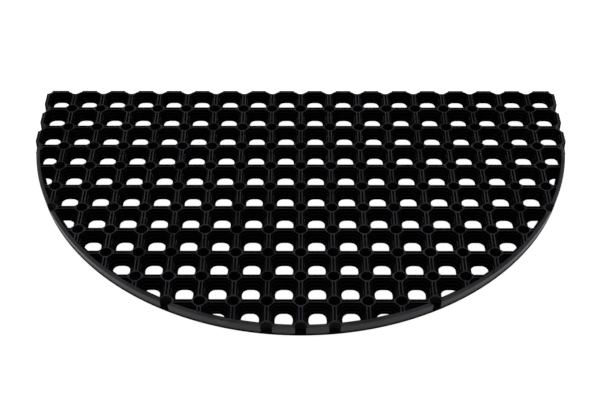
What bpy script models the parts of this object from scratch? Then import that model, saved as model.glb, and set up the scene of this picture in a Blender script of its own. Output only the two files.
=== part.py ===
"""Half round doormat, moulded in one piece of black rubber.

The mat is a lattice of walls between tapered wells that run right through it,
with a round blind pit at each crossing of the walls. Its back edge is straight,
its sides are straight for three wells, and a plain rim runs round its front.

Units are metres and +Z is up. The origin is on the floor under the middle of
the mat, with the straight back edge at +Y and the round front at -Y.
"""

import math

import bmesh
import bpy
from mathutils import Matrix

# The whole mat
WIDTH = 0.750                  # along the straight back edge
THICKNESS = 0.016
COLUMNS = 18                   # wells along the back edge
ROWS = 11                      # wells from the back edge to the front
SIDE_ROWS = 3                  # rows that end at a straight side
PITCH = WIDTH / COLUMNS

# The rim round the front
RIM_RADIUS = 0.3738            # outer face, seen from above
RIM_BAND = 0.0050              # width of its flat top
RIM_CENTRE_REACH = 0.0875      # from the back edge forward to the arc's centre
RIM_START = 0.2 * PITCH        # the arc starts this far in front of the straight side
RIM_FLATS = 60                 # short flats that make up the arc

# A well, measured from the middle of its cell
WELL_TOP_HALF = 0.440 * PITCH
WELL_TOP_CORNER = 0.180 * PITCH
WELL_FOOT_HALF = 0.280 * PITCH
WELL_FOOT_CORNER = 0.140 * PITCH
LEAST_WELL = 0.0015            # a well that reaches less than this inside the rim is left out

# A pit at a crossing of the walls
PIT_RADIUS = 0.180 * PITCH
PIT_FLOOR = 0.0018             # rubber left under a pit
PIT_SIDES = 7
PIT_REACH = 0.09 * PITCH       # a pit centred less than this outside the rim still cuts it

# Cutters
OVERCUT = 0.004                # how far they stand out above and below the mat
FIELD_MARGIN = 0.010           # how far the field of the wells stands out of the straight edges
WELD = 0.00001                 # points closer than this are one point

REACH = RIM_CENTRE_REACH + RIM_RADIUS
BACK_Y = REACH / 2
RIM_CENTRE_Y = BACK_Y - RIM_CENTRE_REACH


def clear_scene():
    for item in list(bpy.data.objects):
        bpy.data.objects.remove(item, do_unlink=True)


def new_collection(name):
    collection = bpy.data.collections.new(name)
    bpy.context.scene.collection.children.link(collection)
    return collection


def finished_mesh(name, shape):
    data = bpy.data.meshes.new(name)
    shape.to_mesh(data)
    shape.free()
    return data


def black_rubber():
    material = bpy.data.materials.new("black_rubber")
    material.use_nodes = True
    shader = material.node_tree.nodes["Principled BSDF"]
    shader.inputs["Base Color"].default_value = (0.016, 0.016, 0.018, 1.0)
    shader.inputs["Roughness"].default_value = 0.6
    shader.inputs["Metallic"].default_value = 0.0
    return material


def half_round_points(half_width, back_y, radius):
    """Corners of a half round: two straight sides, then an arc round the front."""
    side_y = BACK_Y - SIDE_ROWS * PITCH
    swing = math.acos((RIM_CENTRE_Y - side_y + RIM_START) / radius)
    points = [(-half_width, side_y), (-half_width, back_y), (half_width, back_y), (half_width, side_y)]
    for step in range(RIM_FLATS + 1):
        angle = swing - 2 * swing * step / RIM_FLATS
        points.append((radius * math.sin(angle), RIM_CENTRE_Y - radius * math.cos(angle)))
    return points


def slab(name, points, low, high, collection):
    """A flat slab with the given outline, made a mesh so that it can be cut."""
    outline = bpy.data.curves.new(name + "_outline", "CURVE")
    outline.dimensions = "2D"
    outline.fill_mode = "BOTH"
    outline.extrude = (high - low) / 2
    spline = outline.splines.new("POLY")
    spline.points.add(len(points) - 1)
    for point, (x, y) in zip(spline.points, points):
        point.co = (x, y, 0.0, 1.0)
    spline.use_cyclic_u = True
    guide = bpy.data.objects.new(name + "_outline", outline)
    guide.location.z = (high + low) / 2
    collection.objects.link(guide)
    bpy.context.view_layer.update()

    evaluated = guide.evaluated_get(bpy.context.evaluated_depsgraph_get())
    mesh = bpy.data.meshes.new_from_object(evaluated)
    shape = bmesh.new()
    shape.from_mesh(mesh)
    bmesh.ops.remove_doubles(shape, verts=shape.verts, dist=WELD)
    bmesh.ops.recalc_face_normals(shape, faces=shape.faces)
    shape.to_mesh(mesh)
    shape.free()
    solid = bpy.data.objects.new(name, mesh)
    solid.matrix_world = guide.matrix_world
    bpy.data.objects.remove(guide, do_unlink=True)
    collection.objects.link(solid)
    return solid


def well_centres():
    """Middles of the cells whose well opens inside the rim."""
    to_corner = (2 * WELL_TOP_HALF - WELL_TOP_CORNER) / math.sqrt(2)
    centres = []
    for row in range(ROWS):
        y = BACK_Y - (row + 0.5) * PITCH
        for column in range(COLUMNS):
            x = (column + 0.5 - COLUMNS / 2) * PITCH
            off_centre = math.hypot(x, y - RIM_CENTRE_Y)
            reach_inside = RIM_RADIUS - RIM_BAND - off_centre + to_corner
            if row < SIDE_ROWS or reach_inside > LEAST_WELL:
                centres.append((x, y))
    return centres


def pit_centres():
    """Crossings of the walls, with those that an edge of the mat cuts open."""
    centres = []
    for row in range(ROWS + 1):
        y = BACK_Y - row * PITCH
        for column in range(COLUMNS + 1):
            x = (column - COLUMNS / 2) * PITCH
            off_centre = math.hypot(x, y - RIM_CENTRE_Y)
            if row < SIDE_ROWS or off_centre < RIM_RADIUS + PIT_REACH:
                centres.append((x, y))
    return centres


def well_size(depth):
    """Half width and corner cut of a well at a depth below the mat's top."""
    share = depth / THICKNESS
    half = WELL_TOP_HALF + (WELL_FOOT_HALF - WELL_TOP_HALF) * share
    corner = WELL_TOP_CORNER + (WELL_FOOT_CORNER - WELL_TOP_CORNER) * share
    return half, corner


def well_shape():
    """A well about the origin: a cube with its upright edges cut off, drawn in to its foot."""
    shape = bmesh.new()
    bmesh.ops.create_cube(shape, size=2 * WELL_TOP_HALF)
    upright = [edge for edge in shape.edges
               if abs(edge.verts[0].co.z - edge.verts[1].co.z) > WELL_TOP_HALF]
    bmesh.ops.bevel(shape, geom=upright, offset=WELL_TOP_CORNER, segments=1, affect="EDGES")
    for vert in shape.verts:
        depth = -OVERCUT if vert.co.z > 0 else THICKNESS + OVERCUT
        half, corner = well_size(depth)
        for axis in (0, 1):
            on_flat = abs(vert.co[axis]) > WELL_TOP_HALF - WELL_TOP_CORNER / 2
            vert.co[axis] = math.copysign(half if on_flat else half - corner, vert.co[axis])
        vert.co.z = THICKNESS - depth
    return finished_mesh("well", shape)


def pit_shape():
    """A pit about the origin, from its floor up."""
    height = THICKNESS + OVERCUT - PIT_FLOOR
    shape = bmesh.new()
    bmesh.ops.create_cone(shape, cap_ends=True, segments=PIT_SIDES, radius1=PIT_RADIUS,
                          radius2=PIT_RADIUS, depth=height,
                          matrix=Matrix.Translation((0, 0, PIT_FLOOR + height / 2)))
    return finished_mesh("pit", shape)


def repeated_cutter(name, shape, centres, collection):
    """One cutter that holds a copy of a closed shape at each centre."""
    joined = bmesh.new()
    for x, y in centres:
        placed = shape.copy()
        placed.transform(Matrix.Translation((x, y, 0)))
        joined.from_mesh(placed)
        bpy.data.meshes.remove(placed)
    bpy.data.meshes.remove(shape)
    cutter = bpy.data.objects.new(name, finished_mesh(name, joined))
    collection.objects.link(cutter)
    return cutter


def well_field(collection):
    """The room inside the rim, past which no well is cut."""
    points = half_round_points(WIDTH / 2 + FIELD_MARGIN, BACK_Y + FIELD_MARGIN, RIM_RADIUS - RIM_BAND)
    return slab("field", points, -2 * OVERCUT, THICKNESS + 2 * OVERCUT, collection)


def add_boolean(item, operation, other):
    cut = item.modifiers.new(other.name, "BOOLEAN")
    cut.operation = operation
    cut.object = other
    other.display_type = "WIRE"
    other.hide_render = True


def rubber_mat(parts, cutters):
    mat = slab("mat", half_round_points(WIDTH / 2, BACK_Y, RIM_RADIUS), 0.0, THICKNESS, parts)
    mat.data.materials.clear()
    mat.data.materials.append(black_rubber())
    wells = repeated_cutter("wells", well_shape(), well_centres(), cutters)
    pits = repeated_cutter("pits", pit_shape(), pit_centres(), cutters)
    add_boolean(wells, "INTERSECT", well_field(cutters))
    add_boolean(mat, "DIFFERENCE", wells)
    add_boolean(mat, "DIFFERENCE", pits)


def main():
    clear_scene()
    rubber_mat(new_collection("half_round_doormat"), new_collection("cutters"))


main()
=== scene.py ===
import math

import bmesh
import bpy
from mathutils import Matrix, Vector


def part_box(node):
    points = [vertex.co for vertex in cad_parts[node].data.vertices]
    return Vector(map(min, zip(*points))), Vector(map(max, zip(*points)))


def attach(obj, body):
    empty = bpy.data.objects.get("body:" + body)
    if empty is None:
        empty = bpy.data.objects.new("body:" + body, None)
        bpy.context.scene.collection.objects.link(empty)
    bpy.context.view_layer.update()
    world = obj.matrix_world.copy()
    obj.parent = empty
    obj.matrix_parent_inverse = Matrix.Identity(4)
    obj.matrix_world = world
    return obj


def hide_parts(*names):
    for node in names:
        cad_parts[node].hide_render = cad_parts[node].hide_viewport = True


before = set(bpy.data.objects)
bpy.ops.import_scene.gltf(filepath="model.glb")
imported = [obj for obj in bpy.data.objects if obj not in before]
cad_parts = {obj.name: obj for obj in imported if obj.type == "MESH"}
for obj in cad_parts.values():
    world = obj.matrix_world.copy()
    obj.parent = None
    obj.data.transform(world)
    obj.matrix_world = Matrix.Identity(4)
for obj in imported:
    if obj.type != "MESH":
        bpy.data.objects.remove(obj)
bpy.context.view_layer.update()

# Half round doormat, moulded in one piece of black rubber.
#
# The finished mat is cut from one slab, as the mould leaves it: stepped wells right through it, a blind
# pit at each crossing of the walls, and a narrow groove along the top of each wall, which leaves two
# thin lips. Metres, +Z up, straight back edge at +Y.

mat_low, mat_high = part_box("mat")

# The lattice
COLUMNS = 18
ROWS = 11
SIDE_ROWS = 3                            # rows that end at a straight side
PITCH = (mat_high[0] - mat_low[0]) / COLUMNS
THICKNESS = mat_high[2] - mat_low[2]
BACK_Y = mat_high[1]
FRONT_Y = mat_low[1]

# The rim round the front
RIM_CENTRE_Y = BACK_Y - 2.1 * PITCH
RIM_RADIUS = RIM_CENTRE_Y - FRONT_Y
RIM_BAND = 0.12 * PITCH                  # width of its flat top
RIM_LEAN = 0.04 * PITCH                  # how far its foot stands back from its top
RIM_TREAD = 0.023 * PITCH                # width of each step down its inner side
RIM_SET_BACK = 0.067 * PITCH             # how far behind the arc above it each of those steps is centred
RIM_FLATS = 240
NICK_ACROSS = -2.32 * PITCH              # a small moulding nick in the rim's top edge
NICK_SIZE = 0.0022
EDGE_BAND = 0.105 * PITCH                # width of the plain wall along the straight edges
OUTER_ROUND = 0.0006                     # rounding of the mat's outer top edge
OUTER_FOOT = 0.0004                      # chamfer of its outer bottom edge

# A well
STEPS = 4                                # risers from the mouth down to the foot
RISER = THICKNESS / STEPS
MOUTH_HALF = 0.432 * PITCH
FOOT_HALF = 0.264 * PITCH
TREAD = (MOUTH_HALF - FOOT_HALF) / (STEPS - 1)
MOUTH_CORNER = 0.180 * PITCH
FOOT_CORNER = 0.200 * PITCH
MOUTH_BULGE = 0.28                       # bevel profile: 0.25 cuts a corner straight, 0.5 rounds it
FOOT_BULGE = 0.50
CORNER_STEPS = 5
NOSE = 0.00015                           # rounding of a tread's edge
DRAFT = 0.00015                          # how far a riser leans and a tread slopes
LEAST_WELL = 0.0015                      # a well that reaches less than this inside the rim is left out
FRONT_OPENED = 1.08                      # the front row's far walls stand this much further out at each of
                                         # the two lower steps
FIRST_DRAWN_IN = 0.645                   # narrowing of the first well in front of a straight side

# A pit at a crossing
PIT_RADIUS = 0.180 * PITCH
PIT_FOOT_RADIUS = 0.168 * PITCH
PIT_FLOOR = 0.0018
PIT_SIDES = 20
PIT_REACH = 0.09 * PITCH                 # a pit centred less than this outside the rim still cuts it
RING_RADIUS = 0.238 * PITCH              # outside of the raised ring round a pit
FLARE_LENGTH = 0.250 * PITCH             # half length along the edge where a straight edge opens a pit
FLARE_REACH = 0.130 * PITCH              # how far in that mouth reaches

# A groove along a wall's top
GROOVE_HALF = 0.033 * PITCH
GROOVE_DEPTH = 0.0035
GROOVE_FOOT = 0.8                        # width of its foot, as a share of its mouth's
GROOVE_LENGTH = PITCH - 2 * RING_RADIUS
SIDE_GROOVE_HALF = 0.015 * PITCH
SIDE_GROOVE_LENGTH = 0.46 * PITCH

LIP_ROUND = 0.00040                      # rounding of the lips' edges
OVERCUT = 0.003                          # how far cutters stand out of the mat
FIELD_OVERCUT = 0.006                    # how far the room for the wells stands out of it
FLAT_ANGLE = 0.5                         # degrees, under which two faces of the slab are one
SMOOTH_ANGLE = 24                        # degrees, under which an edge is shaded round

# Its rubber
# Below its top the rubber is darkened with painted shade in the recesses. Its top is lighter from wear and
# from painted light.
SHADED_DEEP_BLACK = (0.0022, 0.0022, 0.0027, 1)
WORN_AND_LIT_BLACK = (0.0950, 0.0950, 0.1140, 1)
WORN_AND_LIT_DEPTH = 0.0005                      # how far down from the top the lips are worn and painted lighter
LEAST_WEAR_AND_LIGHT = 0.55                        # share of the worn, painted-light black on the least worn lips
PATCH_WEAR_AND_LIGHT = 0.9                         # what the most worn patches add to that share
PATCH_RANGE = (0.3, 0.7)                 # from the least to the most worn patches
RING_SPARED = 0.3                        # how much less the rings round the pits are worn and painted lighter
ROUGHNESS = 0.32
TOP_ROUGHER = 0.05
PIT_ROUGHER = 0.60                       # the pits are dull inside
SPECK_ROUGHER = 0.06
SPECULAR = 0.25
FACE_SKIN = 0.0006                       # the rim's outer face keeps its sheen down to this depth
SHADED_PAST = 0.30 * PITCH               # how far in front of the straight sides their pits are dull
SHADED_FULLY = 0.25 * PITCH              # and how far they are fully so
PATCH_SIZE = 0.060
SPECK_SIZE = 0.0030
GRAIN_SIZE = 0.0007
GRAIN_DEPTH = 0.00004
GRAIN_STRENGTH = 0.5

# The studio
TABLE_SIZE = 40
TABLE_TOP = -0.001
TABLE_WHITE = (0.8, 0.8, 0.8, 1)
TABLE_GLOW = 1.0
CARD_BOTTOM = -0.0008
CARD_TOP = -0.0002
FOOT_SHADE = 0.0032                      # how far the dark card under the mat stands out of its foot
WORLD_COLOUR = (0.95, 0.95, 1.0, 1)
WORLD_LIGHT = 0.04
OVERHEAD_PLACE = (0, -0.2, 2.0)
OVERHEAD_SIZE = 1.0
OVERHEAD_WATTS = 7
STRIP_ASIDE = 1.42
STRIP_BEHIND = 1.58
STRIP_HEIGHT = 0.57
STRIP_SIZE = 0.5
STRIP_WATTS = 7

# The camera, fitted to the crossings of the walls
LENS = 72.76
SENSOR_WIDTH = 36
CAMERA_PLACE = (-0.0009, -1.1877, 1.1333)
CAMERA_TURN = (46.62, -0.036, 0.034)     # degrees


def deselect_all():
    if bpy.context.object and bpy.context.object.mode != "OBJECT":
        bpy.ops.object.mode_set(mode="OBJECT")
    bpy.ops.object.select_all(action="DESELECT")


def active_piece(name):
    piece = bpy.context.object
    piece.name = name
    piece.data.name = name
    return piece


def select_verts(piece, wanted):
    """In edit mode, selects the points that the function wanted says yes to."""
    mesh = bmesh.from_edit_mesh(piece.data)
    for vert in mesh.verts:
        vert.select = wanted(vert.co)
    mesh.select_flush_mode()
    bmesh.update_edit_mesh(piece.data)


def apply_boolean(piece, operation, other):
    """Cuts or joins two closed pieces for good, and removes the second one."""
    deselect_all()
    bpy.context.view_layer.objects.active = piece
    piece.select_set(True)
    cut = piece.modifiers.new("cut", "BOOLEAN")
    cut.operation = operation
    cut.solver = "MANIFOLD"
    cut.object = other
    bpy.ops.object.modifier_apply(modifier=cut.name)
    bpy.data.objects.remove(other, do_unlink=True)


def apply_array(piece, count, step):
    spread = piece.modifiers.new("spread", "ARRAY")
    spread.count = count
    spread.use_relative_offset = False
    spread.use_constant_offset = True
    spread.constant_offset_displace = step
    bpy.context.view_layer.objects.active = piece
    bpy.ops.object.modifier_apply(modifier=spread.name)


def bridged_rings(name, add_ring, rings):
    """A closed tool from a stack of loops, from the lowest up. Each loop has its own height."""
    deselect_all()
    bpy.ops.mesh.primitive_plane_add(size=PITCH)
    piece = active_piece(name)
    bpy.ops.object.mode_set(mode="EDIT")
    bpy.ops.mesh.select_all(action="SELECT")
    bpy.ops.mesh.delete(type="VERT")
    for ring in rings:
        bpy.ops.mesh.select_all(action="DESELECT")
        add_ring(*ring)
    heights = [ring[0] for ring in rings]
    for low, high in zip(heights, heights[1:]):
        near = min(high - low, NOSE) / 4
        select_verts(piece, lambda co: abs(co.z - low) < near or abs(co.z - high) < near)
        bpy.ops.mesh.bridge_edge_loops()
    for height in (heights[0], heights[-1]):
        select_verts(piece, lambda co: abs(co.z - height) < OVERCUT / 4)
        bpy.ops.mesh.edge_face_add()
    bpy.ops.mesh.select_all(action="SELECT")
    bpy.ops.mesh.normals_make_consistent(inside=False)
    bpy.ops.object.mode_set(mode="OBJECT")
    return piece


def square_ring(height, half, corner, bulge):
    bpy.ops.mesh.primitive_plane_add(size=2 * half, location=(0, 0, height))
    bpy.ops.mesh.bevel(offset=corner, segments=CORNER_STEPS, affect="VERTICES", profile=bulge)
    bpy.ops.mesh.delete(type="ONLY_FACE")


def round_ring(height, radius):
    bpy.ops.mesh.primitive_circle_add(vertices=PIT_SIDES, radius=radius, fill_type="NOTHING",
                                      location=(0, 0, height))


def slot_ring(height, half_width, half_length):
    bpy.ops.mesh.primitive_plane_add(size=2, location=(0, 0, height))
    bpy.ops.transform.resize(value=(half_length, half_width, 1), center_override=(0, 0, height))
    bpy.ops.mesh.delete(type="ONLY_FACE")


def lip_rounding():
    """Height below the mat's top, and how far the edge has opened there, from the top edge down."""
    steps = []
    for angle in (0, 30, 60, 90):
        turn = math.radians(angle)
        steps.append((LIP_ROUND * (1 - math.cos(turn)), LIP_ROUND * (1 - math.sin(turn))))
    return steps


def well_rings():
    """Loops of a stepped well, from below the foot up to above the mouth."""
    rings = []
    for step in range(STEPS):
        share = 1 - step / (STEPS - 1)
        half = FOOT_HALF + TREAD * step
        corner = MOUTH_CORNER + (FOOT_CORNER - MOUTH_CORNER) * share
        bulge = MOUTH_BULGE + (FOOT_BULGE - MOUTH_BULGE) * share
        low = RISER * step if step else -OVERCUT
        rings.append((low + DRAFT * (step > 0), half, corner, bulge))
        if step < STEPS - 1:
            high = RISER * (step + 1)
            rings.append((high - NOSE, half + DRAFT, corner, bulge))
            rings.append((high, half + DRAFT + NOSE, corner, bulge))
    for depth, opened in reversed(lip_rounding()):
        rings.append((THICKNESS - depth, half + DRAFT + opened, corner, bulge))
    rings.append((THICKNESS + OVERCUT, half + DRAFT + LIP_ROUND, corner, bulge))
    return rings


def pit_rings():
    rings = [(PIT_FLOOR, PIT_FOOT_RADIUS)]
    for depth, opened in reversed(lip_rounding()):
        rings.append((THICKNESS - depth, PIT_RADIUS + opened))
    rings.append((THICKNESS + OVERCUT, PIT_RADIUS + LIP_ROUND))
    return rings


def groove_rings():
    rings = [(THICKNESS - GROOVE_DEPTH, GROOVE_HALF * GROOVE_FOOT, GROOVE_LENGTH / 2)]
    for depth, opened in reversed(lip_rounding()):
        rings.append((THICKNESS - depth, GROOVE_HALF + opened, GROOVE_LENGTH / 2 + opened))
    rings.append((THICKNESS + OVERCUT, GROOVE_HALF + LIP_ROUND, GROOVE_LENGTH / 2 + LIP_ROUND))
    return rings


def keep_islands(piece, inside):
    """Keeps the copies in a grid whose middle the function inside says yes to."""
    mesh = bmesh.new()
    mesh.from_mesh(piece.data)
    seen = set()
    doomed = []
    for start in mesh.verts:
        if start in seen:
            continue
        island = [start]
        seen.add(start)
        for vert in island:
            for edge in vert.link_edges:
                other = edge.other_vert(vert)
                if other not in seen:
                    seen.add(other)
                    island.append(other)
        middle = sum((vert.co for vert in island), Vector()) / len(island)
        if not inside(middle):
            doomed += island
    bmesh.ops.delete(mesh, geom=doomed, context="VERTS")
    mesh.to_mesh(piece.data)
    mesh.free()


def grid_of(piece, first, columns, rows, apart=PITCH):
    """Fills a grid with copies of a tool, from its back left corner."""
    piece.location = first
    bpy.context.view_layer.objects.active = piece
    piece.select_set(True)
    bpy.ops.object.transform_apply(location=True, rotation=True, scale=True)
    apply_array(piece, columns, (apart, 0, 0))
    apply_array(piece, rows, (0, -PITCH, 0))


def off_rim_centre(middle):
    return math.hypot(middle.x, middle.y - RIM_CENTRE_Y)


def row_of(middle):
    return (BACK_Y - middle.y) / PITCH


def first_in_front(place):
    """Says whether a place is in one of the two wells just in front of the straight sides."""
    return abs(place.x) > (COLUMNS / 2 - 1) * PITCH and SIDE_ROWS < row_of(place) < SIDE_ROWS + 1


def make_wells():
    wells = bridged_rings("wells", square_ring, well_rings())
    grid_of(wells, ((0.5 - COLUMNS / 2) * PITCH, BACK_Y - PITCH / 2, 0), COLUMNS, ROWS)
    to_corner = (2 * MOUTH_HALF - MOUTH_CORNER) / math.sqrt(2)
    keep_islands(wells, lambda middle: row_of(middle) < SIDE_ROWS
                 or off_rim_centre(middle) < RIM_RADIUS - RIM_BAND + to_corner - LEAST_WELL)

    drawn_in = (PITCH / 2 - EDGE_BAND) / MOUTH_HALF
    column_x = (COLUMNS - 1) / 2 * PITCH
    row_y = BACK_Y - PITCH / 2
    side_end = BACK_Y - SIDE_ROWS * PITCH
    front_y = BACK_Y - (ROWS - 0.5) * PITCH
    bpy.ops.object.mode_set(mode="EDIT")
    for level in (1, 2):
        level_top = level * RISER + DRAFT / 2
        select_verts(wells, lambda co: front_y < co.y < front_y + PITCH / 2 and co.z < level_top)
        bpy.ops.transform.resize(value=(1, FRONT_OPENED, 1), center_override=(0, front_y, 0))

    # Above their foot, the wells beside a straight edge are drawn in on that side, which leaves a wall
    # EDGE_BAND wide. The first wells in front of the straight sides are drawn in all the way down.
    select_verts(wells, lambda co: co.y > row_y and co.z > RISER)
    bpy.ops.transform.resize(value=(1, drawn_in, 1), center_override=(0, row_y, 0))
    for side in (-1, 1):
        select_verts(wells, lambda co: co.x * side > column_x and co.y > side_end and co.z > RISER)
        bpy.ops.transform.resize(value=(drawn_in, 1, 1), center_override=(side * column_x, 0, 0))
        select_verts(wells, lambda co: co.x * side > column_x and first_in_front(co))
        bpy.ops.transform.resize(value=(FIRST_DRAWN_IN, 1, 1), center_override=(side * column_x, 0, 0))
    bpy.ops.object.mode_set(mode="OBJECT")
    return wells


def make_pits():
    pits = bridged_rings("pits", round_ring, pit_rings())
    grid_of(pits, (-COLUMNS / 2 * PITCH, BACK_Y, 0), COLUMNS + 1, ROWS + 1)
    keep_islands(pits, lambda middle: row_of(middle) < SIDE_ROWS - 0.5
                 or off_rim_centre(middle) < RIM_RADIUS + PIT_REACH)
    return pits


def own_copy(piece, turn=0.0):
    copy = piece.copy()
    copy.data = piece.data.copy()
    bpy.context.collection.objects.link(copy)
    deselect_all()
    copy.rotation_euler.z = turn
    return copy


def make_flares():
    """The wider mouths of the pits that the straight edges cut open."""
    behind = bridged_rings("flares", round_ring, pit_rings())
    behind.scale = (FLARE_LENGTH / PIT_RADIUS, FLARE_REACH / PIT_RADIUS, 1)
    beside = own_copy(behind, math.pi / 2)
    grid_of(beside, (-COLUMNS / 2 * PITCH, BACK_Y - PITCH, 0), 2, SIDE_ROWS, COLUMNS * PITCH)
    deselect_all()
    grid_of(behind, ((1 - COLUMNS / 2) * PITCH, BACK_Y, 0), COLUMNS - 1, 1)
    beside.select_set(True)
    bpy.ops.object.join()
    return behind


def make_grooves():
    along = bridged_rings("grooves", slot_ring, groove_rings())
    across = own_copy(along, math.pi / 2)
    grid_of(across, ((1 - COLUMNS / 2) * PITCH, BACK_Y - PITCH / 2, 0), COLUMNS - 1, ROWS)
    deselect_all()
    grid_of(along, ((0.5 - COLUMNS / 2) * PITCH, BACK_Y - PITCH, 0), COLUMNS, ROWS)
    deselect_all()
    across.select_set(True)
    along.select_set(True)
    bpy.context.view_layer.objects.active = along
    bpy.ops.object.join()

    # The side walls have a narrower one, which stops short of the mouths beside it.
    beside = bridged_rings("side_grooves", slot_ring, groove_rings())
    beside.scale = (SIDE_GROOVE_LENGTH / GROOVE_LENGTH, SIDE_GROOVE_HALF / GROOVE_HALF, 1)
    beside.rotation_euler.z = math.pi / 2
    middle_x = COLUMNS / 2 * PITCH - EDGE_BAND / 2
    grid_of(beside, (-middle_x, BACK_Y - PITCH / 2, 0), 2, SIDE_ROWS, 2 * middle_x)
    keep_islands(along, lambda middle: row_of(middle) < SIDE_ROWS
                 or off_rim_centre(middle) < RIM_RADIUS + GROOVE_LENGTH / 2)
    return along, beside


def half_round_block(name, half_width, back_y, radius, foot_radius, low, high, centre_y=RIM_CENTRE_Y):
    """A closed half round block: a straight part behind, and a round part in front of it."""
    side_y = BACK_Y - SIDE_ROWS * PITCH
    middle_z = (low + high) / 2
    deselect_all()
    bpy.ops.mesh.primitive_cylinder_add(vertices=RIM_FLATS, radius=radius, depth=high - low,
                                        location=(0, centre_y, middle_z))
    front = active_piece(name)
    bpy.ops.object.transform_apply(location=True, rotation=False, scale=False)
    bpy.ops.object.mode_set(mode="EDIT")
    select_verts(front, lambda co: co.z < middle_z)
    shrink = foot_radius / radius
    bpy.ops.transform.resize(value=(shrink, shrink, 1), center_override=(0, centre_y, low))
    bpy.ops.mesh.select_all(action="SELECT")
    bpy.ops.mesh.bisect(plane_co=(0, side_y + PITCH / 4, 0), plane_no=(0, 1, 0), use_fill=True,
                        clear_outer=True)
    bpy.ops.object.mode_set(mode="OBJECT")

    deselect_all()
    bpy.ops.mesh.primitive_cube_add(size=1, location=(0, (back_y + side_y) / 2, middle_z))
    back = active_piece("back_part")
    back.scale = (2 * half_width, back_y - side_y, high - low)
    bpy.ops.object.transform_apply(location=True, rotation=False, scale=True)
    apply_boolean(front, "UNION", back)
    return front


def make_slab():
    slab = half_round_block("mat_rubber", COLUMNS / 2 * PITCH, BACK_Y, RIM_RADIUS, RIM_RADIUS - RIM_LEAN,
                            0, THICKNESS)
    bpy.ops.object.mode_set(mode="EDIT")
    bpy.ops.mesh.select_all(action="SELECT")
    bpy.ops.mesh.dissolve_limited(angle_limit=math.radians(FLAT_ANGLE))
    for height, offset, segments in ((THICKNESS, OUTER_ROUND, 3), (0, OUTER_FOOT, 1)):
        select_verts(slab, lambda co: abs(co.z - height) < RISER / 8)
        bpy.ops.mesh.region_to_loop()
        bpy.ops.mesh.bevel(offset=offset, segments=segments, affect="EDGES", profile=0.5)
    bpy.ops.object.mode_set(mode="OBJECT")
    return slab


def make_field(steps):
    """The room that the rim and the straight edges' walls leave for the wells, wider at each step up."""
    half_width = COLUMNS / 2 * PITCH - EDGE_BAND + LIP_ROUND
    back_y = BACK_Y - EDGE_BAND + LIP_ROUND
    levels = [THICKNESS * step / steps for step in range(steps + 1)]
    levels[0] = -FIELD_OVERCUT
    levels[-1] = THICKNESS + FIELD_OVERCUT
    field = None
    for step, (low, high) in enumerate(zip(levels, levels[1:])):
        below = steps - 1 - step
        radius = RIM_RADIUS - RIM_BAND - RIM_TREAD * below
        block = half_round_block("field", half_width, back_y, radius, radius, low, high,
                                 RIM_CENTRE_Y + RIM_SET_BACK * below)
        if field:
            apply_boolean(field, "UNION", block)
        else:
            field = block
    return field


def make_nick():
    """The cutter of a small moulding flaw in the rim's top edge."""
    aside = math.asin(NICK_ACROSS / RIM_RADIUS)
    place = (NICK_ACROSS, RIM_CENTRE_Y - RIM_RADIUS * math.cos(aside), THICKNESS)
    deselect_all()
    bpy.ops.mesh.primitive_cube_add(size=NICK_SIZE, location=place, rotation=(0, 0, aside))
    nick = active_piece("nick")
    bpy.ops.object.transform_apply(location=True, rotation=True, scale=False)
    return nick


def make_mat():
    slab = make_slab()
    wells = make_wells()
    firsts = own_copy(wells)
    keep_islands(firsts, first_in_front)
    keep_islands(wells, lambda middle: not first_in_front(middle))
    apply_boolean(wells, "INTERSECT", make_field(STEPS))
    apply_boolean(firsts, "INTERSECT", make_field(1))
    grooves, side_grooves = make_grooves()
    apply_boolean(grooves, "INTERSECT", make_field(1))
    for tool in (wells, firsts, grooves, side_grooves, make_flares(), make_pits(), make_nick()):
        apply_boolean(slab, "DIFFERENCE", tool)
    deselect_all()
    slab.select_set(True)
    bpy.context.view_layer.objects.active = slab
    bpy.ops.object.shade_smooth_by_angle(angle=math.radians(SMOOTH_ANGLE))
    return slab


class Tone:
    """A shader socket on which Python's arithmetic signs add Math nodes."""

    def __init__(self, surface, socket):
        self.surface = surface
        self.socket = socket

    def maths(self, operation, first, second):
        return self.surface.node("ShaderNodeMath", {"operation": operation}, {0: first, 1: second})

    def __add__(self, other):
        return self.maths("ADD", self, other)

    def __sub__(self, other):
        return self.maths("SUBTRACT", self, other)

    def __rsub__(self, other):
        return self.maths("SUBTRACT", other, self)

    def __mul__(self, other):
        return self.maths("MULTIPLY", self, other)

    __radd__ = __add__
    __rmul__ = __mul__

    def root(self):
        return self.maths("POWER", self, 0.5)

    def larger(self, other):
        return self.maths("MAXIMUM", self, other)

    def off_line(self, spacing):
        """Distance from the nearest of a row of lines with this spacing."""
        return self.maths("PINGPONG", self, spacing / 2)


class Surface:
    """A material under construction."""

    def __init__(self, name):
        self.material = bpy.data.materials.new(name)
        self.material.use_nodes = True
        self.tree = self.material.node_tree
        self.shader = self.tree.nodes["Principled BSDF"]

    def feed(self, socket, value):
        if isinstance(value, Tone):
            self.tree.links.new(value.socket, socket)
        else:
            socket.default_value = value

    def node(self, kind, settings, inputs, output=0):
        """Adds a node, its settings first and then the values or links of its sockets."""
        made = self.tree.nodes.new(kind)
        for name, value in settings.items():
            setattr(made, name, value)
        for name, value in inputs.items():
            self.feed(made.inputs[name], value)
        return Tone(self, made.outputs[output])

    def rise(self, value, low, high):
        """Goes smoothly from 0 to 1 while the value goes from low to high."""
        return self.node("ShaderNodeMapRange", {"interpolation_type": "SMOOTHSTEP"},
                         {"Value": value, "From Min": low, "From Max": high})

    def noise(self, place, size, detail=2.0):
        return self.node("ShaderNodeTexNoise", {}, {"Vector": place, "Scale": 1 / size, "Detail": detail})

    def blend(self, share, first, second):
        return self.node("ShaderNodeMix", {"data_type": "RGBA"}, {0: share, 6: first, 7: second}, 2)

    def finish(self, **inputs):
        for name, value in inputs.items():
            self.feed(self.shader.inputs[name.replace("_", " ")], value)
        return self.material


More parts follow.
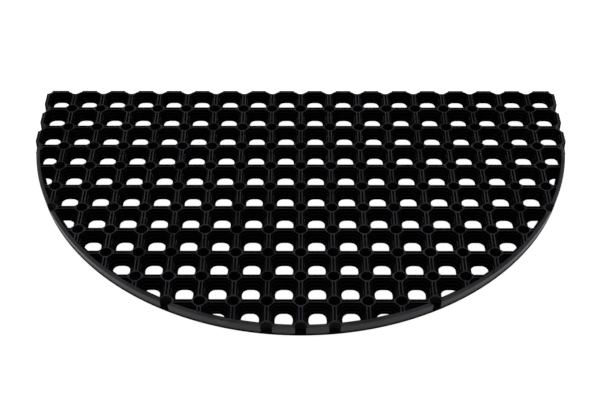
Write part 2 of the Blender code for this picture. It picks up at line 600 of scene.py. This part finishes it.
def black_rubber():
    rubber = Surface("black_rubber")
    place = rubber.node("ShaderNodeTexCoord", {}, {}, "Object")
    across, along, height = (rubber.node("ShaderNodeSeparateXYZ", {}, {"Vector": place}, axis)
                             for axis in "XYZ")

    # Where on the mat: off the nearest crossing, inside the rim's face, or beside the straight sides
    off_column = across.off_line(PITCH)
    off_row = (BACK_Y - along).off_line(PITCH)
    off_crossing = (off_column * off_column + off_row * off_row).root()
    forward = along - RIM_CENTRE_Y
    off_centre = (across * across + forward * forward).root()
    face_reach = RIM_RADIUS - RIM_LEAN
    inside = 1 - rubber.rise(off_centre, face_reach - FACE_SKIN, face_reach - FACE_SKIN / 2)
    side_end = BACK_Y - SIDE_ROWS * PITCH
    behind = rubber.rise(along, side_end - SHADED_PAST, side_end - SHADED_FULLY)

    # Wear, painted light on the top, painted shade below it, and dullness
    top = rubber.rise(height, THICKNESS - WORN_AND_LIT_DEPTH, THICKNESS - WORN_AND_LIT_DEPTH / 4)
    patches = rubber.noise(place, PATCH_SIZE, 3.0)
    specks = rubber.noise(place, SPECK_SIZE)
    grain = rubber.noise(place, GRAIN_SIZE)
    on_ring = 1 - rubber.rise(off_crossing, RING_RADIUS, RING_RADIUS + LIP_ROUND)
    patchy = LEAST_WEAR_AND_LIGHT + PATCH_WEAR_AND_LIGHT * rubber.rise(patches, *PATCH_RANGE)
    # The top is lighter from wear and painted light. Below it the rubber keeps a darker colour, which is
    # painted shade in the recesses.
    worn_and_lit = top * patchy * (1 - RING_SPARED * on_ring)
    colour = rubber.blend(worn_and_lit, SHADED_DEEP_BLACK, WORN_AND_LIT_BLACK)
    in_pit = (1 - top) * (1 - rubber.rise(off_crossing, FLARE_LENGTH, FLARE_LENGTH + LIP_ROUND))
    in_pit = in_pit * inside.larger(behind)
    roughness = ROUGHNESS + TOP_ROUGHER * top + PIT_ROUGHER * in_pit + SPECK_ROUGHER * (specks - 0.5)
    relief = rubber.node("ShaderNodeBump", {},
                         {"Height": grain, "Distance": GRAIN_DEPTH, "Strength": GRAIN_STRENGTH}, "Normal")
    return rubber.finish(Base_Color=colour, Roughness=roughness, Specular_IOR_Level=SPECULAR, Normal=relief)


def make_light_table():
    """The glowing white table that the mat lies on."""
    deselect_all()
    bpy.ops.mesh.primitive_plane_add(size=TABLE_SIZE, location=(0, 0, TABLE_TOP))
    table = active_piece("light_table")
    bpy.ops.object.transform_apply(location=True, rotation=False, scale=False)
    paint = Surface("light_table")
    table.data.materials.append(paint.finish(Base_Color=TABLE_WHITE, Roughness=0.9, Specular_IOR_Level=0.0,
                                             Emission_Color=(1, 1, 1, 1), Emission_Strength=TABLE_GLOW))


def make_underlay():
    """The dark card between table and mat, which the camera doesn't see. It keeps the table's light
    out of the wells."""
    reach = RIM_RADIUS - RIM_LEAN + FOOT_SHADE
    card = half_round_block("underlay", COLUMNS / 2 * PITCH, BACK_Y, reach, reach, CARD_BOTTOM, CARD_TOP)
    card.data.materials.clear()
    card.data.materials.append(Surface("black_card").finish(Base_Color=(0, 0, 0, 1), Roughness=1.0,
                                                            Specular_IOR_Level=0.0))
    card.visible_camera = False


def softbox(name, place, size, watts):
    """A square lamp that faces the middle of the mat."""
    lamp = bpy.data.lights.new(name, "AREA")
    lamp.shape = "RECTANGLE"
    lamp.size = size
    lamp.size_y = size
    lamp.energy = watts
    box = bpy.data.objects.new(name, lamp)
    box.location = place
    box.rotation_euler = Vector(place).to_track_quat("Z", "Y").to_euler()
    bpy.context.collection.objects.link(box)


def make_world():
    world = bpy.data.worlds.new("studio")
    bpy.context.scene.world = world
    world.use_nodes = True
    background = world.node_tree.nodes["Background"]
    background.inputs["Color"].default_value = WORLD_COLOUR
    background.inputs["Strength"].default_value = WORLD_LIGHT


def make_camera():
    lens = bpy.data.cameras.new("camera")
    lens.lens = LENS
    lens.sensor_width = SENSOR_WIDTH
    camera = bpy.data.objects.new("camera", lens)
    camera.location = CAMERA_PLACE
    camera.rotation_euler = [math.radians(angle) for angle in CAMERA_TURN]
    bpy.context.collection.objects.link(camera)
    bpy.context.scene.camera = camera
    bpy.context.scene.view_settings.view_transform = "Standard"


mat = make_mat()
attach(mat, "root")
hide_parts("mat")
mat.data.materials.clear()
mat.data.materials.append(black_rubber())

make_light_table()
make_underlay()
make_world()
softbox("overhead", OVERHEAD_PLACE, OVERHEAD_SIZE, OVERHEAD_WATTS)
for name, side in (("left_strip", -1), ("right_strip", 1)):
    softbox(name, (side * STRIP_ASIDE, STRIP_BEHIND, STRIP_HEIGHT), STRIP_SIZE, STRIP_WATTS)
make_camera()
